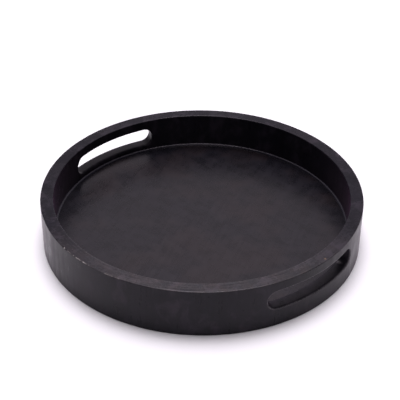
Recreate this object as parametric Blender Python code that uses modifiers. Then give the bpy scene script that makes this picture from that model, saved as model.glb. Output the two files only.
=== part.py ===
"""Round serving tray: a laminated wooden hoop with two hand slots, and a floor panel held in a groove.

The wall is three bent plies, a thin skin outside and two thicker ones, and each is made of a front and a
rear strip. The inner ply stops above the floor panel and a low support hoop carries the panel from below,
so the two form the groove that the panel sits in. Units are metres, +Z is up, and the origin is the middle
of the tray on the table. The front hand slot faces +X and the rear one faces -X.
"""
import math

import bmesh
import bpy

# Overall size
OUTER_RADIUS = 0.175
TRAY_HEIGHT = 0.055
GAP = 0.0003                    # clearance between touching pieces
RING_STEPS = 96                 # every ring and disc has the same facets, so the gaps stay even

# Wall plies, from the outside in
OUTER_PLY = 0.0025
CORE_PLY = 0.0066
INNER_PLY = 0.0043
EDGE_ROUND = 0.0010             # rounding of the rim's edges and the foot's outer edge

# Floor panel and what carries it
FLOOR_TOP = 0.0142
RECESS_DEPTH = 0.0055
SHEET = 0.0008                  # face and backing sheets of the panel
BEAD = 0.0022                   # radius of the quarter-round bead

# Hand slots
SLOT_MIDDLE_Z = 0.0324
SLOT_HALF_HEIGHT = 0.0105
SLOT_HALF_ANGLE = math.radians(20.0)
SLOT_EDGE_ROUND = 0.0022
SLOT_END_STEPS = 10
SLOT_SIDE_STEPS = 10
SLOT_AZIMUTHS = {"front_slot_cutter": 0.0, "rear_slot_cutter": math.pi}

# Scarf joints where the front and rear strips of a ply meet, staggered from ply to ply. Each is given by
# the one on the +Y side, and the other is opposite.
SCARF_SLANT = math.radians(60.0)
SCARF_HALF_LENGTH = 0.009
OUTER_SCARF = math.radians(76.0)
CORE_SCARF = math.radians(104.0)
INNER_SCARF = math.radians(90.0)
HOOP_SCARF = math.radians(82.0)

# Brads through the support hoop into the core ply
BRAD_COUNT = 8
BRAD_LENGTH = 0.0078
BRAD_SHANK_RADIUS = 0.0006
BRAD_HEAD_RADIUS = 0.0011
BRAD_HEAD_THICKNESS = 0.0005
BRAD_TIP = 0.0012
BRAD_SUNK = 0.0002
BRAD_STEPS = 12

# Radii and levels that follow from these
OUTER_PLY_INSIDE = OUTER_RADIUS - OUTER_PLY
CORE_OUTSIDE = OUTER_PLY_INSIDE - GAP
CORE_INSIDE = CORE_OUTSIDE - CORE_PLY
INNER_OUTSIDE = CORE_INSIDE - GAP
INNER_RADIUS = INNER_OUTSIDE - INNER_PLY
MIDDLE_RADIUS = (OUTER_RADIUS + INNER_RADIUS) / 2
PANEL_RADIUS = CORE_INSIDE - GAP
HOOP_HEIGHT = RECESS_DEPTH - GAP
CORE_SHEET_BOTTOM = RECESS_DEPTH + SHEET + GAP
CORE_SHEET_TOP = FLOOR_TOP - SHEET - GAP

BLACK_PAINT = (0.022, 0.021, 0.023, 1.0)
FLOOR_PAINT = (0.026, 0.025, 0.026, 1.0)
BOARD = (0.42, 0.30, 0.19, 1.0)
STEEL = (0.55, 0.55, 0.56, 1.0)


def clear_scene():
    for obj in list(bpy.data.objects):
        bpy.data.objects.remove(obj, do_unlink=True)


def new_collection(name):
    collection = bpy.data.collections.new(name)
    bpy.context.scene.collection.children.link(collection)
    return collection


def paint(obj, colour, roughness, metallic=0.0):
    """Give a piece its own Principled material, named for it."""
    material = bpy.data.materials.new(obj.name)
    material.use_nodes = True
    shader = material.node_tree.nodes["Principled BSDF"]
    shader.inputs["Base Color"].default_value = colour
    shader.inputs["Roughness"].default_value = roughness
    shader.inputs["Metallic"].default_value = metallic
    obj.data.materials.append(material)


def mesh_object(name, mesh, collection):
    mesh.shade_smooth()
    mesh.set_sharp_from_angle(angle=math.radians(30.0))
    obj = bpy.data.objects.new(name, mesh)
    collection.objects.link(obj)
    return obj


def turned_mesh(name, profile, steps, closed):
    """Turn a profile of (radius, height) points about Z. The profile runs down its outer side."""
    edges = [(i, i + 1) for i in range(len(profile) - 1)]
    if closed:
        edges.append((len(profile) - 1, 0))
    outline = bpy.data.meshes.new(name + "_profile")
    outline.from_pydata([(radius, 0.0, height) for radius, height in profile], edges, [])
    lathe = bpy.data.objects.new(name + "_lathe", outline)
    bpy.context.scene.collection.objects.link(lathe)
    screw = lathe.modifiers.new("turn", "SCREW")
    screw.axis = "Z"
    screw.angle = math.tau
    screw.steps = steps
    screw.render_steps = steps
    screw.use_merge_vertices = True
    screw.merge_threshold = 0.00001
    graph = bpy.context.evaluated_depsgraph_get()
    mesh = bpy.data.meshes.new_from_object(lathe.evaluated_get(graph))
    mesh.name = name
    bpy.data.objects.remove(lathe, do_unlink=True)
    return mesh


def ring(name, profile, collection):
    return mesh_object(name, turned_mesh(name, profile, RING_STEPS, closed=True), collection)


def round_corner(radius, height, size, start, end, steps=3):
    """Points along a rounded corner about a centre, between two angles in degrees."""
    points = []
    for i in range(steps + 1):
        angle = math.radians(start + (end - start) * i / steps)
        points.append((radius + size * math.cos(angle), height + size * math.sin(angle)))
    return points


def cut(obj, cutter):
    boolean = obj.modifiers.new(cutter.name, "BOOLEAN")
    boolean.operation = "DIFFERENCE"
    boolean.solver = "EXACT"
    boolean.object = cutter


def cut_by_all(obj, cutters):
    boolean = obj.modifiers.new(cutters.name, "BOOLEAN")
    boolean.operation = "DIFFERENCE"
    boolean.solver = "EXACT"
    boolean.operand_type = "COLLECTION"
    boolean.collection = cutters


def hide_cutter(obj):
    obj.hide_render = True
    obj.display_type = "WIRE"


def slot_outline(grow):
    """A hand slot's outline as (distance round the wall, height) points, grown outwards by a distance."""
    end_radius = SLOT_HALF_HEIGHT + grow
    straight = SLOT_HALF_ANGLE * MIDDLE_RADIUS - SLOT_HALF_HEIGHT
    points = []
    for side in (1, -1):
        for i in range(SLOT_END_STEPS + 1):
            angle = math.pi * (i / SLOT_END_STEPS - 0.5)
            along = straight + end_radius * math.cos(angle)
            points.append((side * along, SLOT_MIDDLE_Z + side * end_radius * math.sin(angle)))
        for i in range(1, SLOT_SIDE_STEPS):
            along = straight * (1 - 2 * i / SLOT_SIDE_STEPS)
            points.append((side * along, SLOT_MIDDLE_Z + side * end_radius))
    return points


def slot_sections():
    """(radius, growth) of the slot from inside to outside, with both mouths rounded over."""
    steps = 4
    mouth = []
    for i in range(steps + 1):
        angle = math.pi / 2 * i / steps
        mouth.append((SLOT_EDGE_ROUND * (1 - math.cos(angle)), SLOT_EDGE_ROUND * (1 - math.sin(angle))))
    inside = [(INNER_RADIUS + depth, grow) for depth, grow in mouth]
    outside = [(OUTER_RADIUS - depth, grow) for depth, grow in reversed(mouth)]
    beyond = 0.020
    return ([(INNER_RADIUS - beyond, SLOT_EDGE_ROUND)] + inside + outside
            + [(OUTER_RADIUS + beyond, SLOT_EDGE_ROUND)])


def make_slot_cutter(name, azimuth, collection):
    """Loft the slot's outline through the wall, each section bent round to its own radius."""
    shape = bmesh.new()
    loops = []
    for radius, grow in slot_sections():
        loop = []
        for along, height in slot_outline(grow):
            angle = azimuth + along / MIDDLE_RADIUS
            loop.append(shape.verts.new((radius * math.cos(angle), radius * math.sin(angle), height)))
        loops.append(loop)
    count = len(loops[0])
    for near, far in zip(loops, loops[1:]):
        for i in range(count):
            j = (i + 1) % count
            shape.faces.new((near[i], near[j], far[j], far[i]))
    shape.faces.new(loops[0])
    shape.faces.new(loops[-1])
    bmesh.ops.recalc_face_normals(shape, faces=shape.faces)
    mesh = bpy.data.meshes.new(name)
    shape.to_mesh(mesh)
    shape.free()
    cutter = mesh_object(name, mesh, collection)
    hide_cutter(cutter)
    return cutter


def make_strip_block(name, radius, start, collection):
    """A block round half of a ring, from an azimuth to its opposite, with slanted ends for scarf joints."""
    outline = []
    for azimuth, turn in ((start, 1), (start + math.pi, -1)):
        clear = azimuth + turn * GAP / radius
        middle = (radius * math.cos(clear), radius * math.sin(clear))
        slant = azimuth + SCARF_SLANT
        ends = []
        for side in (-turn, turn):
            reach = side * SCARF_HALF_LENGTH
            ends.append((middle[0] + reach * math.cos(slant), middle[1] + reach * math.sin(slant)))
        outline += ends
        if turn == 1:
            far = 2.5 * OUTER_RADIUS
            for part in (0.1, 0.4, 0.6, 0.9):
                angle = start + math.pi * part
                outline.append((far * math.cos(angle), far * math.sin(angle)))
    shape = bmesh.new()
    base = shape.faces.new([shape.verts.new((x, y, -TRAY_HEIGHT)) for x, y in outline])
    raised = bmesh.ops.extrude_face_region(shape, geom=[base])
    top = [item for item in raised["geom"] if isinstance(item, bmesh.types.BMVert)]
    bmesh.ops.translate(shape, verts=top, vec=(0.0, 0.0, 3 * TRAY_HEIGHT))
    bmesh.ops.recalc_face_normals(shape, faces=shape.faces)
    mesh = bpy.data.meshes.new(name)
    shape.to_mesh(mesh)
    shape.free()
    block = mesh_object(name, mesh, collection)
    hide_cutter(block)
    return block


def brad_profile(clearance, above):
    """Half outline of a brad from its head down to its point, along its own axis."""
    head = BRAD_HEAD_RADIUS + clearance
    shank = BRAD_SHANK_RADIUS + clearance
    under_head = -BRAD_HEAD_THICKNESS - clearance
    tip = -BRAD_LENGTH - clearance
    return [(0.0, above), (head, above), (head, under_head), (shank, under_head),
            (shank, tip + BRAD_TIP), (0.0, tip)]


def place_brad(obj, azimuth):
    """Lay a brad level with its head towards the middle of the tray."""
    radius = INNER_RADIUS + BRAD_SUNK
    obj.location = (radius * math.cos(azimuth), radius * math.sin(azimuth), HOOP_HEIGHT / 2)
    obj.rotation_euler = (0.0, -math.pi / 2, azimuth)


def make_brads(parts, cutters):
    for i in range(BRAD_COUNT):
        azimuth = math.tau * (i + 0.5) / BRAD_COUNT
        name = "brad_" + str(i + 1)
        brad = mesh_object(name, turned_mesh(name, brad_profile(0.0, 0.0), BRAD_STEPS, closed=False), parts)
        place_brad(brad, azimuth)
        paint(brad, STEEL, 0.35, 1.0)
        hole = name + "_hole_cutter"
        hole_profile = brad_profile(GAP, 0.002)
        cutter = mesh_object(hole, turned_mesh(hole, hole_profile, BRAD_STEPS, closed=False), cutters)
        place_brad(cutter, azimuth)
        hide_cutter(cutter)


def make_strips(name, profile, radius, scarf, parts, cutters):
    """The front and the rear strip of a ply. Each is the turned ring cut to its own half."""
    strips = []
    for end, start in (("front", scarf - math.pi), ("rear", scarf)):
        strip = ring(name + "_" + end, profile, parts)
        block = make_strip_block(strip.name + "_block", radius, start, cutters)
        keep = strip.modifiers.new(block.name, "BOOLEAN")
        keep.operation = "INTERSECT"
        keep.solver = "EXACT"
        keep.object = block
        paint(strip, BLACK_PAINT, 0.50)
        strips.append(strip)
    return strips


def make_outer_ply(parts, cutters):
    top = TRAY_HEIGHT - EDGE_ROUND
    edge = OUTER_RADIUS - EDGE_ROUND
    profile = [(OUTER_PLY_INSIDE, TRAY_HEIGHT)]
    profile += round_corner(edge, top, EDGE_ROUND, 90, 0)
    profile += round_corner(edge, EDGE_ROUND, EDGE_ROUND, 0, -90)
    profile.append((OUTER_PLY_INSIDE, 0.0))
    return make_strips("outer_ply", profile, OUTER_RADIUS - OUTER_PLY / 2, OUTER_SCARF, parts, cutters)


def make_core_ply(parts, cutters):
    profile = [(CORE_OUTSIDE, TRAY_HEIGHT), (CORE_OUTSIDE, 0.0)]
    profile += [(CORE_INSIDE, 0.0), (CORE_INSIDE, TRAY_HEIGHT)]
    return make_strips("core_ply", profile, CORE_OUTSIDE - CORE_PLY / 2, CORE_SCARF, parts, cutters)


def make_inner_ply(parts, cutters):
    foot = FLOOR_TOP + GAP
    profile = [(INNER_OUTSIDE, TRAY_HEIGHT), (INNER_OUTSIDE, foot), (INNER_RADIUS, foot)]
    profile += round_corner(INNER_RADIUS + EDGE_ROUND, TRAY_HEIGHT - EDGE_ROUND, EDGE_ROUND, 180, 90)
    return make_strips("inner_ply", profile, INNER_OUTSIDE - INNER_PLY / 2, INNER_SCARF, parts, cutters)


def make_support_hoop(parts, cutters):
    profile = [(INNER_OUTSIDE, HOOP_HEIGHT), (INNER_OUTSIDE, 0.0)]
    profile += [(INNER_RADIUS, 0.0), (INNER_RADIUS, HOOP_HEIGHT)]
    return make_strips("support_hoop", profile, INNER_OUTSIDE - INNER_PLY / 2, HOOP_SCARF, parts, cutters)


def make_floor_bead(collection):
    wall_side = INNER_RADIUS - GAP
    floor_side = FLOOR_TOP + GAP
    profile = [(wall_side, floor_side)] + round_corner(wall_side, floor_side, BEAD, 180, 90, steps=4)
    paint(ring("floor_bead", profile, collection), BLACK_PAINT, 0.50)


def make_disc(name, bottom, top, collection):
    shape = bmesh.new()
    bmesh.ops.create_cone(shape, cap_ends=True, segments=RING_STEPS, radius1=PANEL_RADIUS,
                          radius2=PANEL_RADIUS, depth=top - bottom)
    mesh = bpy.data.meshes.new(name)
    shape.to_mesh(mesh)
    shape.free()
    disc = mesh_object(name, mesh, collection)
    disc.location = (0.0, 0.0, (top + bottom) / 2)
    return disc


def make_floor_panel(collection):
    backing = make_disc("floor_backing", RECESS_DEPTH, RECESS_DEPTH + SHEET, collection)
    board = make_disc("floor_core", CORE_SHEET_BOTTOM, CORE_SHEET_TOP, collection)
    face = make_disc("floor_face", FLOOR_TOP - SHEET, FLOOR_TOP, collection)
    paint(backing, BLACK_PAINT, 0.55)
    paint(board, BOARD, 0.80)
    paint(face, FLOOR_PAINT, 0.45)


def main():
    clear_scene()
    parts = new_collection("serving_tray")
    cutters = new_collection("cutters")
    brad_cutters = new_collection("brad_holes")

    make_brads(parts, brad_cutters)
    outer_ply = make_outer_ply(parts, cutters)
    core_ply = make_core_ply(parts, cutters)
    inner_ply = make_inner_ply(parts, cutters)
    support_hoop = make_support_hoop(parts, cutters)
    make_floor_bead(parts)
    make_floor_panel(parts)

    for end, (name, azimuth) in enumerate(SLOT_AZIMUTHS.items()):
        slot = make_slot_cutter(name, azimuth, cutters)
        for ply in (outer_ply, core_ply, inner_ply):
            cut(ply[end], slot)
    for strip in core_ply + support_hoop:
        cut_by_all(strip, brad_cutters)


main()
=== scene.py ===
"""Looks of the round black serving tray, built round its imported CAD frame."""
import math

import bpy
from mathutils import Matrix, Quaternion, Vector


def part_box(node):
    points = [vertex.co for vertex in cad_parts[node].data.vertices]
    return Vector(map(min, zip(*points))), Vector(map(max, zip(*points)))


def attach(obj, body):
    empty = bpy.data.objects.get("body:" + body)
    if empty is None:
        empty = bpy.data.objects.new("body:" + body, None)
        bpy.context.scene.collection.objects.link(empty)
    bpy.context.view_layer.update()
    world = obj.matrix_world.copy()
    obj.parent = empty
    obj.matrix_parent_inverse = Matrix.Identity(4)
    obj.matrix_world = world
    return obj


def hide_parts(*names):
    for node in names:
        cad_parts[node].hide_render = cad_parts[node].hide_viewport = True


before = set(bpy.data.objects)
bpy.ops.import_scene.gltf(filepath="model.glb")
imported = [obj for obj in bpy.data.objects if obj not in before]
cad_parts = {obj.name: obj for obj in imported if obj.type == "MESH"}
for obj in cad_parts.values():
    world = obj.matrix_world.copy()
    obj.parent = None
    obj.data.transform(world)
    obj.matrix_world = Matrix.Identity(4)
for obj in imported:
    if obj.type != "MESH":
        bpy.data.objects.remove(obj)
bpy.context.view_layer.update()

MM = 0.001
SEAM = 0.02 * MM                # what is left of each glue line under the paint

# Sizes that the frame gives
OUTER_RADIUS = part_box("outer_ply_front")[1].x
TRAY_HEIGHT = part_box("outer_ply_front")[1].z
CORE_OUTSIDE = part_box("core_ply_front")[1].x
INNER_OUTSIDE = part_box("inner_ply_front")[1].x
FLOOR_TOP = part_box("floor_face")[1].z
HALF_GAP = 0.15 * MM            # half the gap that the CAD keeps between glued faces
INNER_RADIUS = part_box("floor_bead")[1].x + 2 * HALF_GAP
OUTER_SEAM = CORE_OUTSIDE + HALF_GAP
INNER_SEAM = INNER_OUTSIDE + HALF_GAP
MIDDLE_RADIUS = (OUTER_RADIUS + INNER_RADIUS) / 2
HOOP_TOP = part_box("support_hoop_front")[1].z

# Sizes that repeat the CAD's own
EDGE_ROUND = 1.0 * MM
SLOT_MIDDLE_Z = 32.4 * MM
SLOT_HALF_HEIGHT = 10.5 * MM
SLOT_HALF_ANGLE = math.radians(20.0)
SLOT_EDGE_ROUND = 2.2 * MM
BEAD = 2.2 * MM
BRADS = 8

# Mesh fineness. Column steps and patch sizes are in degrees round the ring.
COLUMN_STEP = 1.0
WORN_COLUMN_STEP = 0.25
SLOT_PATCH = 26                 # half width of the mesh patch round each slot
PATCH_CORNER = 7.0              # length of a patch's top and bottom that is joined to the slot's round ends
BLEND_STEPS = 6                 # rows between a patch's border and its slot
BLEND_POWER = 0.8               # below 1, these rows lie closer together towards the slot
SUPPORT = 0.4 * MM              # distance of the rows that keep flat faces flat beside a rounding
WALL_ROWS = 15
INNER_PLY_ROWS = 11
HOOP_ROWS = 3
MOUTH_STEPS = 6                 # round a slot's mouth
ROUND_STEPS = 4                 # round the rim's and the foot's edges
DISC_COLUMNS = 144
DISC_RINGS = 26
DISC_POWER = 0.8                # below 1, a disc's rings lie closer together towards its edge
BEAD_STEPS = 8
BRAD_COLUMNS = 20
SHARP_ANGLE = math.radians(32.0)
TINY = 1e-6                     # allowance in degrees when azimuths are compared


# ------------------------------------------------------------------ camera
def make_camera():
    """The camera stands between the +X slot and the -Y side, 34 degrees up, with a short telephoto lens."""
    data = bpy.data.cameras.new("camera")
    data.lens = 98.9
    data.sensor_width = 36.0
    data.clip_start = 0.05
    data.clip_end = 50.0
    camera = bpy.data.objects.new("camera", data)
    bpy.context.scene.collection.objects.link(camera)
    place = Vector((0.7321, -0.6685, 0.7242))
    target = Vector((-0.00138, -0.00151, 0.04205))
    roll = Quaternion((0.0, 0.0, 1.0), math.radians(0.623))
    camera.location = place
    camera.rotation_mode = "QUATERNION"
    camera.rotation_quaternion = (target - place).to_track_quat("-Z", "Y") @ roll
    bpy.context.scene.camera = camera


make_camera()


# ------------------------------------------------------------------ mesh code
def smooth_noise(x, y, z, seed):
    """Cheap smooth noise between about -1 and 1: a few crossed sine waves, each finer and weaker.

    Where a point in metres is multiplied by a number on its way in, that number sets how fine the noise is.
    """
    value = 0.0
    for k in range(1, 5):
        phase = seed * 1.7 + k * 2.3
        value += math.sin(x * k * 1.31 + phase) * math.cos(y * k * 1.17 - phase * 0.7) / k
        value += math.sin(z * k * 1.53 + phase * 1.3 + x * 0.6) * 0.5 / k
    return value / 2.2


class Shape:
    """Collects the points and faces of one closed piece."""

    def __init__(self):
        self.points = []
        self.faces = []

    def add(self, point):
        """Add a point and return its number."""
        self.points.append(point)
        return len(self.points) - 1

    def loop(self, points):
        """Add a closed loop of points and return their numbers."""
        return [self.add(p) for p in points]

    def strip(self, first, second, flip=False):
        """Quads between two closed loops of the same length."""
        count = len(first)
        for i in range(count):
            j = (i + 1) % count
            face = (first[i], first[j], second[j], second[i])
            self.faces.append(tuple(reversed(face)) if flip else face)

    def fan(self, middle, loop, flip=False):
        """Triangles from one point to a closed loop round it."""
        for here, following in zip(loop, loop[1:] + loop[:1]):
            self.faces.append((middle, following, here) if flip else (middle, here, following))

    def build(self, name):
        """Make the object, shaded smooth apart from its sharp edges."""
        mesh = bpy.data.meshes.new(name)
        mesh.from_pydata(self.points, [], self.faces)
        mesh.validate()
        mesh.shade_smooth()
        mesh.set_sharp_from_angle(angle=SHARP_ANGLE)
        obj = bpy.data.objects.new(name, mesh)
        bpy.context.scene.collection.objects.link(obj)
        return obj


def polar(radius, degrees, height):
    """Point at a radius, azimuth and height."""
    angle = math.radians(degrees)
    return (radius * math.cos(angle), radius * math.sin(angle), height)


def offset_from(azimuth, middle):
    """Signed angle in degrees from one azimuth to another, between -180 and 180."""
    return (azimuth - middle + 180) % 360 - 180


def columns(worn=()):
    """Azimuths in degrees round a ring, closer together inside the worn stretches."""
    result = []
    for i in range(int(360 / COLUMN_STEP)):
        start = i * COLUMN_STEP
        fine = any(low <= start < high for low, high in worn)
        pieces = int(COLUMN_STEP / WORN_COLUMN_STEP) if fine else 1
        result += [start + COLUMN_STEP * k / pieces for k in range(pieces)]
    return result


def stadium(turn, grow):
    """Point (along, up) on a slot's outline, grown outwards by grow.

    turn runs 0-4 round the outline: right end, top, left end, bottom, each in 0-1 steps.
    """
    radius = SLOT_HALF_HEIGHT + grow
    straight = SLOT_HALF_ANGLE * MIDDLE_RADIUS - SLOT_HALF_HEIGHT
    side = int(turn) % 4
    part = turn - int(turn)
    if side in (0, 2):
        sign = 1 if side == 0 else -1
        angle = math.radians(-90.0 + 180.0 * part)
        along = sign * (straight + radius * math.cos(angle))
        up = sign * radius * math.sin(angle)
    else:
        sign = 1 if side == 1 else -1
        along = sign * straight * (1 - 2 * part)
        up = sign * radius
    return along, SLOT_MIDDLE_Z + up


def slot_point(radius, slot, turn, grow):
    """Point on a slot's outline, bent round the wall at a radius."""
    along, up = stadium(turn, grow)
    return polar(radius, slot + math.degrees(along / MIDDLE_RADIUS), up)


def patch_turn(degrees, height, low, high):
    """Where on the slot's outline a point on the patch's rectangular border is joined to.

    The border's upright sides are joined to the middle half of the slot's round ends, and its corners
    to the quarter of the ends above and below that.
    """
    quarter = 0.25
    straight = SLOT_PATCH - PATCH_CORNER
    top = height == high
    bottom = height == low
    if top and abs(degrees) <= straight:
        return 1 + (1 - degrees / straight) / 2
    if bottom and abs(degrees) <= straight:
        return 3 + (1 + degrees / straight) / 2
    if top or bottom:
        part = (abs(degrees) - straight) / PATCH_CORNER * quarter
        if degrees > 0:
            return 1 - part if top else part
        return 2 + part if top else 3 - part
    part = quarter + 2 * quarter * (height - low) / (high - low)
    return part if degrees > 0 else 3 - part


def patch_border(azimuths, rows, slot):
    """(row, column) of the grid points on the rectangle round one slot, in order."""
    cols = [j for j, a in enumerate(azimuths) if abs(offset_from(a, slot)) <= SLOT_PATCH + TINY]
    cols.sort(key=lambda j: offset_from(azimuths[j], slot))
    border = [(1, j) for j in cols] + [(i, cols[-1]) for i in range(2, rows - 1)]
    border += [(rows - 2, j) for j in reversed(cols[:-1])]
    border += [(i, cols[0]) for i in range(rows - 3, 1, -1)]
    return border


def slot_patch(shape, grid, azimuths, heights, radius, grow, slot, inward):
    """Rows that lead from the rectangle round a slot to its outline. Returns the outline and its turns."""
    border = patch_border(azimuths, len(heights), slot)
    low, high = heights[1], heights[-2]
    spots = []
    for i, j in border:
        offset = offset_from(azimuths[j], slot)
        spots.append((offset, heights[i], patch_turn(offset, heights[i], low, high)))
    outer = [grid[i][j] for i, j in border]
    for step in range(1, BLEND_STEPS + 1):
        share = (step / BLEND_STEPS) ** BLEND_POWER
        points = []
        for offset, height, turn in spots:
            along, up = stadium(turn, grow + SUPPORT)
            near = math.degrees(along / MIDDLE_RADIUS)
            spot = offset + (near - offset) * share
            points.append(polar(radius, slot + spot, height + (up - height) * share))
        inner = shape.loop(points)
        shape.strip(outer, inner, flip=inward)
        outer = inner
    turns = [turn for _, _, turn in spots]
    outline = shape.loop([slot_point(radius, slot, turn, grow) for turn in turns])
    shape.strip(outer, outline, flip=inward)
    return outline, turns


def sheet(shape, azimuths, heights, radius, grow, slots, inward):
    """A cylindrical face as a grid with slot holes.

    grow is how far the slots' mouths are rounded away at this face, and inward faces look to the middle.
    Returns the face's bottom and top loops, and each slot's outline with its turns.
    """
    rows = len(heights)
    count = len(azimuths)
    grid = [[shape.add(polar(radius, a, h)) for a in azimuths] for h in heights]

    def in_patch(azimuth):
        return any(abs(offset_from(azimuth, slot)) < SLOT_PATCH - TINY for slot in slots)

    for i in range(rows - 1):
        for j in range(count):
            k = (j + 1) % count
            middle = azimuths[j] + 0.5 * ((azimuths[k] - azimuths[j]) % 360)
            if 1 <= i < rows - 2 and in_patch(middle):
                continue
            face = (grid[i][j], grid[i][k], grid[i + 1][k], grid[i + 1][j])
            shape.faces.append(tuple(reversed(face)) if inward else face)

    outlines = [slot_patch(shape, grid, azimuths, heights, radius, grow, slot, inward) for slot in slots]
    return grid[0], grid[-1], outlines


def mouth():
    """(depth, growth) round a slot's mouth from the wall's face into the slot, the face itself left out."""
    points = []
    for i in range(1, MOUTH_STEPS + 1):
        angle = math.pi / 2 * i / MOUTH_STEPS
        points.append((SLOT_EDGE_ROUND * (1 - math.cos(angle)), SLOT_EDGE_ROUND * (1 - math.sin(angle))))
    return points


def tunnels(shape, slots, out_outlines, in_outlines, sections):
    """Join the slot outlines of a ply's outside and inside through sections of (radius, growth)."""
    for slot, (outside, turns), (inside, _) in zip(slots, out_outlines, in_outlines):
        previous = outside
        for radius, grow in sections:
            current = shape.loop([slot_point(radius, slot, turn, grow) for turn in turns])
            shape.strip(previous, current)
            previous = current
        shape.strip(previous, inside)


def edge_rows(low, high, low_round, high_round, rows):
    """Heights of a face's rows, with a row close to each rounded end."""
    bottom = low + low_round
    top = high - high_round
    first = bottom + SUPPORT
    last = top - SUPPORT
    middle = [first + (last - first) * i / (rows - 1) for i in range(rows)]
    return [bottom] + middle + [top]


def ring_sections(shape, azimuths, start, end, section):
    """Strips round the whole ring from one loop to another through (radius, height) points."""
    previous = start
    for radius, height in section:
        current = shape.loop([polar(radius, a, height) for a in azimuths])
        shape.strip(previous, current)
        previous = current
    shape.strip(previous, end)


def arc(radius, height, size, start, end):
    """(radius, height) points along a rounded corner between two angles in degrees, ends left out."""
    points = []
    for i in range(1, ROUND_STEPS):
        angle = math.radians(start + (end - start) * i / ROUND_STEPS)
        points.append((radius + size * math.cos(angle), height + size * math.sin(angle)))
    return points


# ------------------------------------------------------------------ surface life
SWELL = 0.05 * MM               # how far the wall's faces swell in and out
LIFT = 0.035 * MM               # how far the rim rises and falls
RIM_SINK = 0.02 * MM            # keeps the risen rim below the tray's full height
CHIP_REACH = 1.6 * MM           # how far a chip reaches from the rim's outer edge
CHIP_IN = 0.75                  # shares of a chip's depth that go inwards and down
CHIP_DOWN = 0.65
WORN = ((262.0, 292.0),)        # stretch of the rim's outer edge with chips and worn paint, in degrees
CHIPS = (                       # azimuth, half width in degrees, depth
    (264.6, 0.55, 0.75 * MM),
    (266.4, 0.30, 0.30 * MM),
    (271.2, 0.80, 0.22 * MM),
    (274.6, 1.30, 0.26 * MM),
    (277.5, 0.60, 0.20 * MM),
    (288.4, 1.60, 0.16 * MM),
)


def chip_depth(azimuth, to_edge):
    """How far a chip takes a point off the rim's outer top edge."""
    depth = 0.0
    for middle, half, deep in CHIPS:
        off = (azimuth - middle) / half
        if abs(off) < 1.0:
            depth += deep * (1 - off * off) ** 1.5
    return depth * max(0.0, 1 - to_edge / CHIP_REACH) ** 1.2


def relax(points, chipped=False):
    """Give true cylinders and planes the slight unevenness of sanded and painted wood."""
    moved = []
    edge = Vector((OUTER_RADIUS, TRAY_HEIGHT))
    for x, y, z in points:
        radius = math.hypot(x, y)
        new_radius = radius - SWELL + SWELL * smooth_noise(x * 55, y * 55, z * 30, 3)
        new_z = z
        if z > 0.5 * TRAY_HEIGHT:
            new_z = z - RIM_SINK + LIFT * smooth_noise(x * 42, y * 42, 0.0, 8) * min(1.0, z / TRAY_HEIGHT)
        if chipped:
            azimuth = math.degrees(math.atan2(y, x)) % 360
            depth = chip_depth(azimuth, (Vector((radius, z)) - edge).length)
            new_radius -= depth * CHIP_IN
            new_z -= depth * CHIP_DOWN
        scale = new_radius / radius
        moved.append((x * scale, y * scale, new_z))
    return moved


# ------------------------------------------------------------------ the wall
SLOTS = (0.0, 180.0)            # azimuths of the hand slots
TOP_ROWS = (0.35, 0.7)          # where the rows on a ply's flat top lie, from its outside to its inside


def make_ply(name, outside, inside, low, high, slots=SLOTS, mouth_out=False, mouth_in=False,
             round_out=0.0, round_in=0.0, foot_round=0.0, rows=WALL_ROWS, worn=()):
    """One bent ply of the wall, closed, with its slots cut and its outer edges rounded."""
    shape = Shape()
    around = columns(worn)
    out_heights = edge_rows(low, high, foot_round, round_out, rows)
    in_heights = edge_rows(low, high, 0.0, round_in, rows)
    out_grow = SLOT_EDGE_ROUND if mouth_out else 0.0
    in_grow = SLOT_EDGE_ROUND if mouth_in else 0.0
    out_bottom, out_top, out_outlines = sheet(shape, around, out_heights, outside, out_grow, slots, False)
    in_bottom, in_top, in_outlines = sheet(shape, around, in_heights, inside, in_grow, slots, True)

    sections = []
    if mouth_out:
        sections += [(outside - depth, grow) for depth, grow in mouth()]
    if mouth_in:
        sections += [(inside + depth, grow) for depth, grow in reversed(mouth())]
    tunnels(shape, slots, out_outlines, in_outlines, sections)

    flat_out = outside - (round_out + SUPPORT if round_out else 0.0)
    flat_in = inside + (round_in + SUPPORT if round_in else 0.0)
    top = []
    if round_out:
        top += arc(outside - round_out, high - round_out, round_out, 0, 90)
        top.append((outside - round_out, high))
        top.append((flat_out, high))
    top += [(flat_out + (flat_in - flat_out) * share, high) for share in TOP_ROWS]
    if round_in:
        top.append((flat_in, high))
        top.append((inside + round_in, high))
        top += arc(inside + round_in, high - round_in, round_in, 90, 180)
    ring_sections(shape, around, out_top, in_top, top)

    flat_foot = outside - (foot_round + SUPPORT if foot_round else 0.0)
    bottom = [((inside + flat_foot) / 2, low)]
    if foot_round:
        bottom.append((flat_foot, low))
        bottom.append((outside - foot_round, low))
        bottom += arc(outside - foot_round, low + foot_round, foot_round, -90, 0)
    ring_sections(shape, around, in_bottom, out_bottom, bottom)

    shape.points = relax(shape.points, chipped=bool(worn))
    return shape.build(name)


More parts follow.
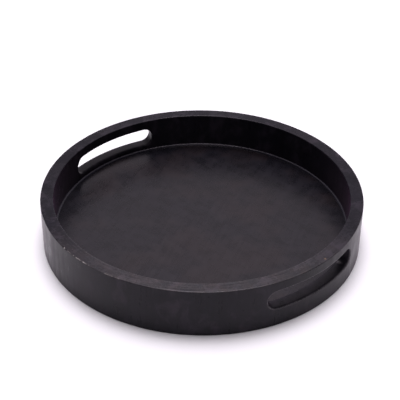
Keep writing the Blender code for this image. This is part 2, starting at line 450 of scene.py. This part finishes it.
def make_wall():
    """The three plies and the support hoop, each as one ring."""
    half_seam = SEAM / 2
    outer = make_ply("wall_outer_ply", OUTER_RADIUS, OUTER_SEAM + half_seam, 0.0, TRAY_HEIGHT,
                     mouth_out=True, round_out=EDGE_ROUND, foot_round=EDGE_ROUND, worn=WORN)
    core = make_ply("wall_core_ply", OUTER_SEAM - half_seam, INNER_SEAM + half_seam, 0.0, TRAY_HEIGHT)
    inner = make_ply("wall_inner_ply", INNER_SEAM - half_seam, INNER_RADIUS, FLOOR_TOP + SEAM, TRAY_HEIGHT,
                     mouth_in=True, round_in=EDGE_ROUND, rows=INNER_PLY_ROWS)
    hoop = make_ply("wall_support_hoop", INNER_SEAM - half_seam, INNER_RADIUS, 0.0, HOOP_TOP,
                    slots=(), rows=HOOP_ROWS)
    return {"outer_ply": outer, "core_ply": core, "inner_ply": inner, "support_hoop": hoop}


# ------------------------------------------------------------------ the floor
FLOOR_UNEVEN = 0.04 * MM        # how far the floor's top sheet rises and falls
BEAD_SUNK = 0.1 * MM            # how far the bead is sunk into the floor's paint
BEAD_GAP = 0.02 * MM            # between the bead and the wall
BEAD_UNEVEN = 0.05              # share of the bead's radius by which it gets thicker and thinner


def make_panel_disc(name, low, high, radius, uneven=0.0):
    """A sheet of the floor panel, which rises and falls a little where uneven is above zero."""
    shape = Shape()
    around = [360.0 / DISC_COLUMNS * i for i in range(DISC_COLUMNS)]
    rims = []
    for height, upper in ((high, True), (low, False)):
        middle = shape.add((0.0, 0.0, height))
        previous = None
        for k in range(1, DISC_RINGS + 1):
            distance = radius * (k / DISC_RINGS) ** DISC_POWER
            current = shape.loop([polar(distance, a, height) for a in around])
            if previous is None:
                shape.fan(middle, current, flip=not upper)
            else:
                shape.strip(previous, current, flip=upper)
            previous = current
        rims.append(previous)
    shape.strip(rims[0], rims[1], flip=True)
    risen = []
    for x, y, z in shape.points:
        risen.append((x, y, z + uneven * smooth_noise(x * 30 + 4.0, y * 34, 0.0, 5)))
    shape.points = risen
    return shape.build(name)


def make_bead():
    """The quarter-round strip between the floor and the wall, a little uneven as if filled."""
    shape = Shape()
    around = columns()
    back = INNER_RADIUS - BEAD_GAP
    foot = FLOOR_TOP - BEAD_SUNK
    loops = []
    for k in range(BEAD_STEPS + 1):
        angle = math.radians(180 - 90 * k / BEAD_STEPS)
        points = []
        for azimuth in around:
            turn = math.radians(azimuth)
            size = BEAD * (1 + BEAD_UNEVEN * smooth_noise(math.cos(turn) * 9, math.sin(turn) * 9, 0.0, 11))
            points.append(polar(back + size * math.cos(angle), azimuth, foot + size * math.sin(angle)))
        loops.append(shape.loop(points))
    loops.append(shape.loop([polar(back, a, foot) for a in around]))
    for near, far in zip(loops, loops[1:] + loops[:1]):
        shape.strip(near, far, flip=True)
    return shape.build("floor_edge_bead")


def make_brad(number, middle):
    """A small steel brad with a domed head, lying level and pointing outwards."""
    head, shank, length = 1.1 * MM, 0.6 * MM, 7.6 * MM
    taper, point, dome, sunk = 1.2 * MM, 0.1 * MM, 0.12 * MM, 0.2 * MM
    outline = [                 # radius and depth, from the head's face to the tip
        (0.45 * head, 0.10 * MM),
        (0.85 * head, 0.04 * MM),
        (head, -0.08 * MM),
        (head, -0.40 * MM),
        (0.8 * head, -0.5 * MM),
        (shank, -0.55 * MM),
        (shank, taper - length),
        (0.2 * shank, -length),
    ]
    outward = Vector((middle.x, middle.y, 0.0)).normalized()
    across = Vector((-outward.y, outward.x, 0.0))
    start = outward * (INNER_RADIUS + sunk)
    start.z = middle.z
    shape = Shape()

    def ring(radius, depth):
        points = []
        for k in range(BRAD_COLUMNS):
            angle = math.tau * k / BRAD_COLUMNS
            rise = Vector((0.0, 0.0, radius * math.sin(angle)))
            points.append(tuple(start - outward * depth + across * radius * math.cos(angle) + rise))
        return shape.loop(points)

    tip = shape.add(tuple(start + outward * (length + point)))
    crown = shape.add(tuple(start - outward * dome))
    loops = [ring(radius, depth) for radius, depth in outline]
    shape.fan(crown, loops[0], flip=True)
    shape.fan(tip, loops[-1])
    for near, far in zip(loops, loops[1:]):
        shape.strip(near, far)
    return shape.build("brad_pin_" + str(number))


# ------------------------------------------------------------------ material nodes
class Nodes:
    """Short ways to add and join shader nodes. A value is a number, a tuple or a socket to join to."""

    def __init__(self, tree):
        self.tree = tree

    def new(self, kind, **settings):
        node = self.tree.nodes.new(kind)
        for key, value in settings.items():
            setattr(node, key, value)
        return node

    def feed(self, socket, value):
        if isinstance(value, bpy.types.NodeSocket):
            self.tree.links.new(value, socket)
        else:
            socket.default_value = value

    def math(self, operation, first, second=0.0, third=0.0):
        node = self.new("ShaderNodeMath", operation=operation)
        for socket, value in zip(node.inputs, (first, second, third)):
            self.feed(socket, value)
        return node.outputs[0]

    def add(self, first, second):
        return self.math("ADD", first, second)

    def subtract(self, first, second):
        return self.math("SUBTRACT", first, second)

    def times(self, first, second):
        return self.math("MULTIPLY", first, second)

    def away(self, value, middle):
        """How far a value is from a middle, either way."""
        return self.math("ABSOLUTE", self.subtract(value, middle))

    def weighted(self, *parts):
        """Sum of values, each times its weight."""
        value, weight = parts[0]
        total = self.times(value, weight)
        for value, weight in parts[1:]:
            total = self.math("MULTIPLY_ADD", value, weight, total)
        return total

    def vary(self, value, noise, low, high, amount):
        """A value moved by up to half of amount either way, as the noise goes from low to high."""
        return self.math("MULTIPLY_ADD", self.remap(noise, low, high, -0.5, 0.5), amount, value)

    def vector(self, operation, first, second=(0.0, 0.0, 0.0)):
        node = self.new("ShaderNodeVectorMath", operation=operation)
        self.feed(node.inputs[0], first)
        self.feed(node.inputs[1], second)
        return node.outputs["Value"] if operation in ("DOT_PRODUCT", "LENGTH") else node.outputs["Vector"]

    def stretched(self, point, factors):
        """A noise read at this point is drawn out along the axes whose factor is below 1."""
        return self.vector("MULTIPLY", point, factors)

    def split(self, point):
        """A point's X, Y and Z."""
        node = self.new("ShaderNodeSeparateXYZ")
        self.feed(node.inputs[0], point)
        return tuple(node.outputs)

    def combine(self, x, y):
        """A point from its X and Y, with a Z of 0."""
        node = self.new("ShaderNodeCombineXYZ")
        self.feed(node.inputs["X"], x)
        self.feed(node.inputs["Y"], y)
        return node.outputs[0]

    def remap(self, value, low, high, to_low=0.0, to_high=1.0, smooth=False):
        node = self.new("ShaderNodeMapRange", clamp=True)
        node.interpolation_type = "SMOOTHSTEP" if smooth else "LINEAR"
        for name, item in (("Value", value), ("From Min", low), ("From Max", high),
                           ("To Min", to_low), ("To Max", to_high)):
            self.feed(node.inputs[name], item)
        return node.outputs["Result"]

    def noise(self, vector, scale, detail, roughness, distortion=0.0):
        node = self.new("ShaderNodeTexNoise")
        for name, item in (("Vector", vector), ("Scale", scale), ("Detail", detail),
                           ("Roughness", roughness), ("Distortion", distortion)):
            self.feed(node.inputs[name], item)
        return node.outputs["Fac"]

    def mix_value(self, share, first, second):
        node = self.new("ShaderNodeMix", data_type="FLOAT")
        self.feed(node.inputs[0], share)
        self.feed(node.inputs[2], first)
        self.feed(node.inputs[3], second)
        return node.outputs[0]

    def mix(self, share, first, second):
        """A colour between two colours."""
        node = self.new("ShaderNodeMix", data_type="RGBA")
        self.feed(node.inputs[0], share)
        self.feed(node.inputs[6], first)
        self.feed(node.inputs[7], second)
        return node.outputs[2]

    def bump(self, height, strength, distance, normal=None):
        node = self.new("ShaderNodeBump")
        self.feed(node.inputs["Height"], height)
        self.feed(node.inputs["Strength"], strength)
        self.feed(node.inputs["Distance"], distance)
        if normal is not None:
            self.feed(node.inputs["Normal"], normal)
        return node.outputs["Normal"]


def new_material(name):
    """A material with a Principled shader. Returns it, its nodes and the shader."""
    material = bpy.data.materials.new(name)
    material.use_nodes = True
    material.node_tree.nodes.clear()
    nodes = Nodes(material.node_tree)
    shader = nodes.new("ShaderNodeBsdfPrincipled")
    output = nodes.new("ShaderNodeOutputMaterial")
    nodes.feed(output.inputs["Surface"], shader.outputs["BSDF"])
    return material, nodes, shader


def object_point(nodes):
    """Point on the object in metres."""
    return nodes.new("ShaderNodeTexCoord").outputs["Object"]


def surface(nodes, shader, colour, roughness, normal):
    """Join a shader to its colour, roughness and relief."""
    nodes.feed(shader.inputs["Base Color"], colour)
    nodes.feed(shader.inputs["Roughness"], roughness)
    nodes.feed(shader.inputs["Normal"], normal)


def grey(value, warm=0.0):
    """A blue-black paint colour, or browner where warm is above zero."""
    return (value * (1.0 + warm), value, value * (1.50 - warm), 1.0)


def window(nodes, value, middle, half, soft):
    """1 inside a band of half width about a middle, fading to 0 over a soft margin."""
    return nodes.remap(nodes.away(value, middle), half + soft, half, smooth=True)


# ------------------------------------------------------------------ paint, wear and painted highlights
PAINT_SHEEN = (1.0, 0.93, 0.96, 1.0)     # the paint's sheen is a touch violet
DUST_SHEEN = (1.0, 0.5, 0.95, 1.0)       # of the finest dust, seen where the wall turns away
SMUDGE_COLOUR = (1.0, 0.76, 1.02, 1.0)   # deposit left by fingers and cloths
# colour of the painted highlight on the slots' outer lips
LIP_HIGHLIGHT_COLOUR = (1.0, 0.93, 0.95, 1.0)
RIM_HIGHLIGHT_COOL = (0.96, 0.98, 0.96, 1.0)    # painted highlight on the rim's lit side, in cooler and in warmer patches
RIM_HIGHLIGHT_WARM = (1.08, 0.94, 0.88, 1.0)
BARE_DARK = (0.14, 0.125, 0.12, 1.0)     # where the edge is worn through the paint
BARE_PALE = (0.50, 0.47, 0.44, 1.0)
PRIMER_TAN = (0.20, 0.135, 0.085, 1.0)

LIP_HIGHLIGHT_TONE = 0.055                # how much paler the slots' outer rounded lips are painted: a painted highlight where the lips catch the light
RIM_HIGHLIGHT_TONE = 0.031             # how much paler the rim's painted highlight is
RIM_ROUGHNESS = 0.27            # the rim is polished by hands
EDGE_MIDDLE = 0.6 * MM          # how far a rounded edge's middle lies in and down from its corner, added up

# Worn paint along the rim's outer edge: azimuth in degrees, half width, strength
WORN_STREAKS = (
    (264.9, 0.5, 1.0),
    (268.3, 0.9, 0.30),
    (272.2, 1.3, 0.55),
    (274.9, 1.1, 0.75),
    (277.3, 0.7, 0.45),
    (286.6, 1.2, 0.30),
    (289.4, 0.8, 0.20),
    (41.0, 1.5, 0.30),
)
RIM_HIGHLIGHT_MIDDLE = 318.0           # azimuth of the stretch of rim painted palest, a painted highlight on the side that faces the camera
RIM_HIGHLIGHT_REACH = (72.0, 8.0)      # degrees from there where the painted highlight begins, and where it is full
TAN_SPOT = (0.1722, 3.6)        # radius and azimuth of a spot where the primer shows on the rim


class WallPlaces:
    """Where a point of the wall lies: its height, azimuth, radius and distances from the rim's edges."""

    def __init__(self, nodes):
        self.nodes = nodes
        self.point = object_point(nodes)
        x, self.y, self.z = nodes.split(self.point)
        turn = nodes.times(nodes.math("ARCTAN2", self.y, x), 180 / math.pi)
        self.azimuth = nodes.math("MODULO", nodes.add(turn, 360.0), 360.0)
        self.flat = nodes.vector("MULTIPLY", self.point, (1.0, 1.0, 0.0))
        self.radius = nodes.vector("LENGTH", self.flat)
        below_top = nodes.subtract(TRAY_HEIGHT, self.z)
        self.from_outer_edge = nodes.add(nodes.subtract(OUTER_RADIUS, self.radius), below_top)
        self.from_inner_edge = nodes.add(nodes.subtract(self.radius, INNER_RADIUS), below_top)
        self.on_rim = nodes.remap(below_top, 0.9 * MM, 0.35 * MM)

    def slot_lip(self):
        """1 on the outer rounded lip of a hand slot, 0 elsewhere."""
        nodes = self.nodes
        turn = nodes.math("ARCSINE", nodes.math("DIVIDE", nodes.math("ABSOLUTE", self.y), self.radius))
        past = nodes.times(nodes.subtract(turn, SLOT_HALF_ANGLE), OUTER_RADIUS)
        past = nodes.math("MAXIMUM", nodes.add(past, SLOT_HALF_HEIGHT), 0.0)
        rise = nodes.subtract(self.z, SLOT_MIDDLE_Z)
        out = nodes.math("SQRT", nodes.add(nodes.times(past, past), nodes.times(rise, rise)))
        out = nodes.subtract(out, SLOT_HALF_HEIGHT)
        ring = window(nodes, out, 0.9 * MM, 0.5 * MM, 0.9 * MM)
        outside = nodes.remap(self.radius, OUTER_RADIUS - 1.4 * MM, OUTER_RADIUS - 0.5 * MM)
        return nodes.times(ring, outside)

    def facing(self, azimuth, wide, narrow):
        """1 within a narrow angle of one azimuth, falling to 0 at a wide one, all in degrees."""
        nodes = self.nodes
        along = nodes.vector("DOT_PRODUCT", self.flat, polar(1.0, azimuth, 0.0))
        cosine = nodes.math("DIVIDE", along, self.radius)
        begins, full = math.cos(math.radians(wide)), math.cos(math.radians(narrow))
        return nodes.remap(cosine, begins, full, smooth=True)


class WallGrain:
    """The noises that the wall paint's colour, roughness and relief share."""

    def __init__(self, nodes, place):
        point = place.point
        upright = nodes.stretched(point, (1.0, 1.0, 0.07))
        self.streaks = nodes.noise(upright, scale=260.0, detail=4.0, roughness=0.6)
        self.broad = nodes.noise(upright, scale=45.0, detail=2.0, roughness=0.5)
        self.cloud = nodes.noise(point, scale=22.0, detail=3.0, roughness=0.5)
        self.patches = nodes.noise(point, scale=75.0, detail=3.0, roughness=0.6)
        self.speckle = nodes.noise(point, scale=620.0, detail=3.0, roughness=0.65)
        slender = nodes.stretched(point, (1.0, 1.0, 0.12))
        self.pores = nodes.noise(slender, scale=1500.0, detail=2.0, roughness=0.5)
        wiped = nodes.stretched(point, (1.0, 1.0, 0.6))
        self.smudges = nodes.noise(wiped, scale=62.0, detail=4.0, roughness=0.6, distortion=0.6)
        around = nodes.combine(place.radius, nodes.times(place.azimuth, 0.06 * MM))
        lines = nodes.noise(around, scale=1100.0, detail=3.0, roughness=0.6)
        self.mottle = nodes.weighted((self.speckle, 0.35), (lines, 0.65))


def rim_wear(nodes, place):
    """Mask of thin broken streaks of worn paint along the rim's outer top edge."""
    flattened = nodes.stretched(place.point, (1.0, 1.0, 2.0))
    ragged = nodes.noise(flattened, scale=700.0, detail=4.0, roughness=0.65)
    total = 0.0
    for middle, half, strength in WORN_STREAKS:
        band = nodes.times(window(nodes, place.azimuth, middle, half, half * 0.9), strength)
        total = nodes.math("MAXIMUM", total, band)
    reach = nodes.math("MULTIPLY_ADD", total, 0.40 * MM, 0.15 * MM)
    from_middle = nodes.math("DIVIDE", nodes.away(place.from_outer_edge, EDGE_MIDDLE), reach)
    bare = nodes.subtract(nodes.add(ragged, 0.45), from_middle)
    return nodes.times(nodes.remap(bare, 0.05, 0.45, smooth=True), total)


def rim_painted_highlight(nodes, place, grain):
    """Painted highlight: how much paler the rim is painted on the side that faces the camera, most of all
    along its rounded edges there.
    """
    rubbed = nodes.times(place.facing(RIM_HIGHLIGHT_MIDDLE, *RIM_HIGHLIGHT_REACH), RIM_HIGHLIGHT_TONE)
    rubbed = nodes.times(rubbed, nodes.remap(grain.mottle, 0.36, 0.64, 0.35, 1.65))
    rubbed = nodes.times(rubbed, nodes.remap(grain.patches, 0.35, 0.65, 0.9, 1.1))
    rubbed = nodes.times(rubbed, place.on_rim)
    edge = nodes.math("MINIMUM", nodes.away(place.from_outer_edge, EDGE_MIDDLE),
                      nodes.away(place.from_inner_edge, EDGE_MIDDLE))
    broken = nodes.remap(grain.speckle, 0.35, 0.6, 0.3, 1.0)
    edge_highlight = nodes.times(nodes.remap(edge, 0.9 * MM, 0.2 * MM), broken)
    return nodes.math("MULTIPLY_ADD", edge_highlight, nodes.times(rubbed, 0.5), rubbed)


def tan_spot(nodes, place, grain):
    """Mask of the small ragged spot where the primer shows on the rim."""
    middle = polar(*TAN_SPOT, TRAY_HEIGHT)
    distance = nodes.vector("LENGTH", nodes.vector("SUBTRACT", place.point, middle))
    ragged = nodes.math("MULTIPLY_ADD", grain.speckle, -0.9 * MM, distance)
    return nodes.remap(ragged, 0.9 * MM, 0.2 * MM, smooth=True)


# ------------------------------------------------------------------ materials
def paint_gloss(shader, specular):
    """The gloss that the black paint has everywhere."""
    shader.inputs["Specular IOR Level"].default_value = specular
    shader.inputs["Specular Tint"].default_value = PAINT_SHEEN


def wall_colour(nodes, place, grain, value, wear):
    """Black paint that varies along its grain, smudged, and paler on the slots' lips and on one side of the
    rim, which are painted highlights.
    """
    tone = nodes.weighted((grain.broad, 0.5), (grain.streaks, 0.5))
    paint = nodes.mix(nodes.remap(tone, 0.30, 0.70), grey(value * 0.6), grey(value * 1.5, 0.03))
    paint = nodes.mix(nodes.remap(grain.cloud, 0.42, 0.66, 0.0, 0.8), paint, grey(value * 1.5, 0.12))
    paint = nodes.mix(nodes.remap(grain.smudges, 0.48, 0.68, 0.0, 0.012, smooth=True), paint, SMUDGE_COLOUR)
    # painted highlight: the slots' outer lips are paler, as where they catch the light
    lip = nodes.times(place.slot_lip(), nodes.remap(grain.speckle, 0.38, 0.62, 0.3, 1.3))
    paint = nodes.mix(nodes.times(lip, LIP_HIGHLIGHT_TONE), paint, LIP_HIGHLIGHT_COLOUR)
    # colour of the painted highlight on the side of the rim that faces the camera
    rubbed = nodes.mix(nodes.remap(grain.patches, 0.35, 0.65), RIM_HIGHLIGHT_COOL, RIM_HIGHLIGHT_WARM)
    paint = nodes.mix(rim_painted_highlight(nodes, place, grain), paint, rubbed)
    bare = nodes.mix(nodes.remap(grain.speckle, 0.35, 0.65), BARE_DARK, BARE_PALE)
    colour = nodes.mix(wear, paint, bare)
    return nodes.mix(nodes.times(tan_spot(nodes, place, grain), 0.8), colour, PRIMER_TAN)


def painted_wall(name, value, roughness, specular):
    """Satin black paint over upright grain, mottled on the rim, with a painted highlight on one side of the
    rim.
    """
    material, nodes, shader = new_material(name)
    place = WallPlaces(nodes)
    grain = WallGrain(nodes, place)
    wear = rim_wear(nodes, place)

    rough = nodes.mix_value(place.on_rim, roughness, RIM_ROUGHNESS)
    rough = nodes.vary(rough, grain.streaks, 0.3, 0.7, amount=0.12)
    rough = nodes.vary(rough, grain.cloud, 0.3, 0.7, amount=0.08)
    rough = nodes.vary(rough, grain.smudges, 0.35, 0.65, amount=0.12)
    rough = nodes.math("MULTIPLY_ADD", wear, 0.25, rough)

    fine = nodes.weighted((grain.pores, 0.4), (grain.streaks, 0.6))
    normal = nodes.bump(fine, strength=0.28, distance=0.10 * MM)
    normal = nodes.bump(grain.smudges, strength=0.30, distance=0.45 * MM, normal=normal)
    mottle_strength = nodes.math("MULTIPLY_ADD", place.on_rim, 0.25, 0.20)
    normal = nodes.bump(grain.mottle, mottle_strength, distance=0.06 * MM, normal=normal)
    normal = nodes.bump(nodes.subtract(1.0, wear), strength=0.5, distance=0.12 * MM, normal=normal)

    surface(nodes, shader, wall_colour(nodes, place, grain, value, wear), rough, normal)
    paint_gloss(shader, specular)
    shader.inputs["Sheen Weight"].default_value = 0.03
    shader.inputs["Sheen Roughness"].default_value = 0.35
    shader.inputs["Sheen Tint"].default_value = DUST_SHEEN
    return material


def painted_bead(name, value, roughness, specular):
    """The same black paint over filler: a little paler, a painted highlight along the floor's edge, and
    shinier, and lumpy along the joint.
    """
    material, nodes, shader = new_material(name)
    point = object_point(nodes)
    lumps = nodes.noise(point, scale=120.0, detail=3.0, roughness=0.5)
    fine = nodes.noise(point, scale=700.0, detail=3.0, roughness=0.6)
    tone = nodes.weighted((fine, 0.4), (lumps, 0.6))
    colour = nodes.mix(nodes.remap(tone, 0.35, 0.65), grey(value * 0.7), grey(value * 1.3, 0.02))
    rough = nodes.remap(tone, 0.3, 0.7, roughness - 0.06, roughness + 0.06)
    surface(nodes, shader, colour, rough, nodes.bump(tone, strength=0.3, distance=0.10 * MM))
    paint_gloss(shader, specular)
    return material


def painted_floor(name, value, roughness, specular):
    """Satin black paint over a wood sheet: long grain across the tray, mottled, with fine rubbing marks."""
    material, nodes, shader = new_material(name)
    point = object_point(nodes)
    x, y, _ = nodes.split(point)
    sway = nodes.noise(point, scale=9.0, detail=2.0, roughness=0.5)
    lengthwise = nodes.combine(nodes.times(x, 0.09), nodes.math("MULTIPLY_ADD", sway, 0.012, y))
    fibres = nodes.noise(lengthwise, scale=300.0, detail=2.0, roughness=0.5)
    bands = nodes.noise(lengthwise, scale=48.0, detail=3.0, roughness=0.55)
    mottle = nodes.noise(point, scale=70.0, detail=2.0, roughness=0.5)
    blotch = nodes.noise(point, scale=17.0, detail=3.0, roughness=0.6)
    slender = nodes.stretched(point, (0.12, 1.0, 1.0))
    pores = nodes.noise(slender, scale=1500.0, detail=2.0, roughness=0.5)
    turned = nodes.new("ShaderNodeVectorRotate", rotation_type="Z_AXIS")
    nodes.feed(turned.inputs["Vector"], point)
    turned.inputs["Angle"].default_value = math.radians(62.0)
    wiped = nodes.stretched(turned.outputs[0], (0.06, 1.0, 1.0))
    rubbed = nodes.noise(wiped, scale=300.0, detail=2.0, roughness=0.6)

    tone = nodes.weighted((bands, 0.35), (fibres, 0.2), (mottle, 0.45))
    paint = nodes.mix(nodes.remap(tone, 0.34, 0.66), grey(value * 0.6), grey(value * 1.4, 0.05))
    warm_spot = nodes.remap(blotch, 0.44, 0.66, 0.0, 0.8, smooth=True)
    paint = nodes.mix(warm_spot, paint, grey(value * 1.5, 0.36))

    rough = nodes.vary(roughness, mottle, 0.3, 0.7, amount=0.05)
    rough = nodes.vary(rough, rubbed, 0.35, 0.7, amount=0.035)
    rough = nodes.vary(rough, fibres, 0.3, 0.7, amount=0.015)

    normal = nodes.bump(nodes.weighted((pores, 0.07), (fibres, 0.93)), strength=0.06, distance=0.08 * MM)
    normal = nodes.bump(rubbed, strength=0.15, distance=0.04 * MM, normal=normal)
    normal = nodes.bump(mottle, strength=0.12, distance=0.25 * MM, normal=normal)
    surface(nodes, shader, paint, rough, normal)
    paint_gloss(shader, specular)
    return material


def bare_board(name):
    """Unpainted board of the floor panel's middle: pale wood in wavy growth bands."""
    material, nodes, shader = new_material(name)
    along = nodes.stretched(object_point(nodes), (0.1, 1.0, 1.0))
    bands = nodes.noise(along, scale=70.0, detail=4.0, roughness=0.6, distortion=0.4)
    fibres = nodes.noise(along, scale=900.0, detail=3.0, roughness=0.6)
    brown, pale = (0.33, 0.22, 0.13, 1.0), (0.50, 0.37, 0.24, 1.0)
    colour = nodes.mix(nodes.remap(bands, 0.35, 0.65), brown, pale)
    rough = nodes.remap(fibres, 0.3, 0.7, 0.68, 0.85)
    surface(nodes, shader, colour, rough, nodes.bump(fibres, strength=0.4, distance=0.1 * MM))
    return material


def drawn_steel(name):
    """Bright steel of the brads, with fine drawing marks and a little dulling."""
    material, nodes, shader = new_material(name)
    point = object_point(nodes)
    marks = nodes.noise(nodes.stretched(point, (1.0, 1.0, 6.0)), scale=1800.0, detail=3.0, roughness=0.6)
    dulling = nodes.noise(point, scale=500.0, detail=3.0, roughness=0.5)
    bright, dull = (0.58, 0.58, 0.60, 1.0), (0.40, 0.39, 0.38, 1.0)
    colour = nodes.mix(nodes.remap(dulling, 0.4, 0.7), bright, dull)
    rough = nodes.remap(marks, 0.3, 0.7, 0.25, 0.42)
    surface(nodes, shader, colour, rough, nodes.bump(marks, strength=0.3, distance=0.05 * MM))
    shader.inputs["Metallic"].default_value = 1.0
    return material


# ------------------------------------------------------------------ stage and light
CAMERA_SIDE = 47.6              # degrees from -Y towards +X, where the camera stands

# Soft light from the room: (side in degrees from the camera's own, elevation, sharpness, strength)
GLOWS = {
    "overhead": (0.0, 90.0, 40.0, 2.6),
    "overhead_edge": (180.0, 83.0, 60.0, 11.4),
    "overhead_back": (180.0, 75.0, 30.0, 8.0),
    "left_softbox": (-140.0, 60.0, 13.0, 1.1),
    "right_softbox": (150.0, 60.0, 15.0, 0.75),
    "back_wall": (180.0, 37.0, 20.0, 0.12),
    "low_front": (0.0, 10.0, 16.0, 1.20),
    "low_back": (180.0, 10.0, 16.0, 0.80),
    "low_right": (135.0, 10.0, 16.0, 0.9),
    "low_left": (-135.0, 10.0, 16.0, 0.38),
}
AMBIENT = 0.03
LIGHT_TINT = (1.0, 0.925, 1.02)          # the room's slight violet cast
TABLE_WHITE = (0.92, 0.94, 0.92, 1.0)
TABLE_HALF = 4.0                # metres


def direction(side, elevation):
    """Unit vector to a light, its side counted from the camera's."""
    turn = math.radians(CAMERA_SIDE + side)
    rise = math.radians(elevation)
    return (math.sin(turn) * math.cos(rise), -math.cos(turn) * math.cos(rise), math.sin(rise))


def make_room():
    """A world of a few broad glows, as big softboxes give."""
    world = bpy.data.worlds.new("studio")
    bpy.context.scene.world = world
    world.use_nodes = True
    world.node_tree.nodes.clear()
    nodes = Nodes(world.node_tree)
    look = nodes.new("ShaderNodeTexCoord").outputs["Generated"]
    total = AMBIENT
    for name, (side, elevation, sharpness, strength) in GLOWS.items():
        facing = nodes.vector("DOT_PRODUCT", look, direction(side, elevation))
        glow = nodes.math("EXPONENT", nodes.times(nodes.subtract(facing, 1.0), sharpness))
        glow.node.label = name
        total = nodes.math("MULTIPLY_ADD", glow, strength, total)
        total.node.label = "strength of " + name
    colour = nodes.new("ShaderNodeCombineColor")
    for socket, tint in zip(colour.inputs, LIGHT_TINT):
        nodes.feed(socket, nodes.times(total, tint))
    background = nodes.new("ShaderNodeBackground")
    nodes.feed(background.inputs["Color"], colour.outputs[0])
    output = nodes.new("ShaderNodeOutputWorld")
    nodes.feed(output.inputs["Surface"], background.outputs[0])


def white_table():
    """Plain matt white from above, and clear from below."""
    material = bpy.data.materials.new("white_table")
    material.use_nodes = True
    material.node_tree.nodes.clear()
    nodes = Nodes(material.node_tree)
    diffuse = nodes.new("ShaderNodeBsdfDiffuse")
    diffuse.inputs["Color"].default_value = TABLE_WHITE
    clear = nodes.new("ShaderNodeBsdfTransparent")
    choose = nodes.new("ShaderNodeMixShader")
    nodes.feed(choose.inputs[0], nodes.new("ShaderNodeNewGeometry").outputs["Backfacing"])
    nodes.feed(choose.inputs[1], diffuse.outputs[0])
    nodes.feed(choose.inputs[2], clear.outputs[0])
    output = nodes.new("ShaderNodeOutputMaterial")
    nodes.feed(output.inputs["Surface"], choose.outputs[0])
    return material


def make_table_top():
    """The surface that the tray stands on."""
    signs = ((-1, -1), (1, -1), (1, 1), (-1, 1))
    mesh = bpy.data.meshes.new("table_top")
    mesh.from_pydata([(TABLE_HALF * x, TABLE_HALF * y, 0.0) for x, y in signs], [], [(0, 1, 2, 3)])
    mesh.materials.append(white_table())
    top = bpy.data.objects.new("table_top", mesh)
    bpy.context.scene.collection.objects.link(top)


# ------------------------------------------------------------------ putting it together
def dress(piece, material, slot, *nodes):
    """Give a piece its material and its place in the frame, and hide the CAD nodes it stands for."""
    piece.data.materials.clear()
    piece.data.materials.append(material)
    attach(piece, "root")
    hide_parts(*nodes)


def dress_wall():
    """The plies and the support hoop, in one black paint."""
    paint = painted_wall("black_wall_paint", value=0.0065, roughness=0.35, specular=0.165)
    for node, piece in make_wall().items():
        dress(piece, paint, "wall_black", node + "_front", node + "_rear")


def dress_floor():
    """The bead, the floor panel's two sheets and the bare board between them."""
    # the bead's paint is paler than the wall's: a painted highlight along the floor's edge
    bead_paint = painted_bead("black_bead_paint", value=0.014, roughness=0.30, specular=0.45)
    dress(make_bead(), bead_paint, "bead_black", "floor_bead")

    floor_paint = painted_floor("black_floor_paint", value=0.005, roughness=0.285, specular=0.40)
    low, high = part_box("floor_face")
    face = make_panel_disc("floor_face_sheet", low.z, high.z, high.x, uneven=FLOOR_UNEVEN)
    dress(face, floor_paint, "floor_black", "floor_face")

    underside_paint = painted_floor("black_underside_paint", value=0.010, roughness=0.50, specular=0.25)
    low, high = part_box("floor_backing")
    backing = make_panel_disc("floor_backing_sheet", low.z, high.z, high.x)
    dress(backing, underside_paint, "underside_black", "floor_backing")

    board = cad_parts["floor_core"]
    board.data.materials.clear()
    board.data.materials.append(bare_board("bare_board"))


def dress_brads():
    """The steel brads that hold the support hoop."""
    steel = drawn_steel("brad_steel")
    for number in range(1, BRADS + 1):
        node = "brad_" + str(number)
        low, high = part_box(node)
        dress(make_brad(number, (low + high) / 2), steel, "brad_steel", node)


make_room()
make_table_top()
dress_wall()
dress_floor()
dress_brads()
bpy.context.scene.view_settings.view_transform = "Standard"
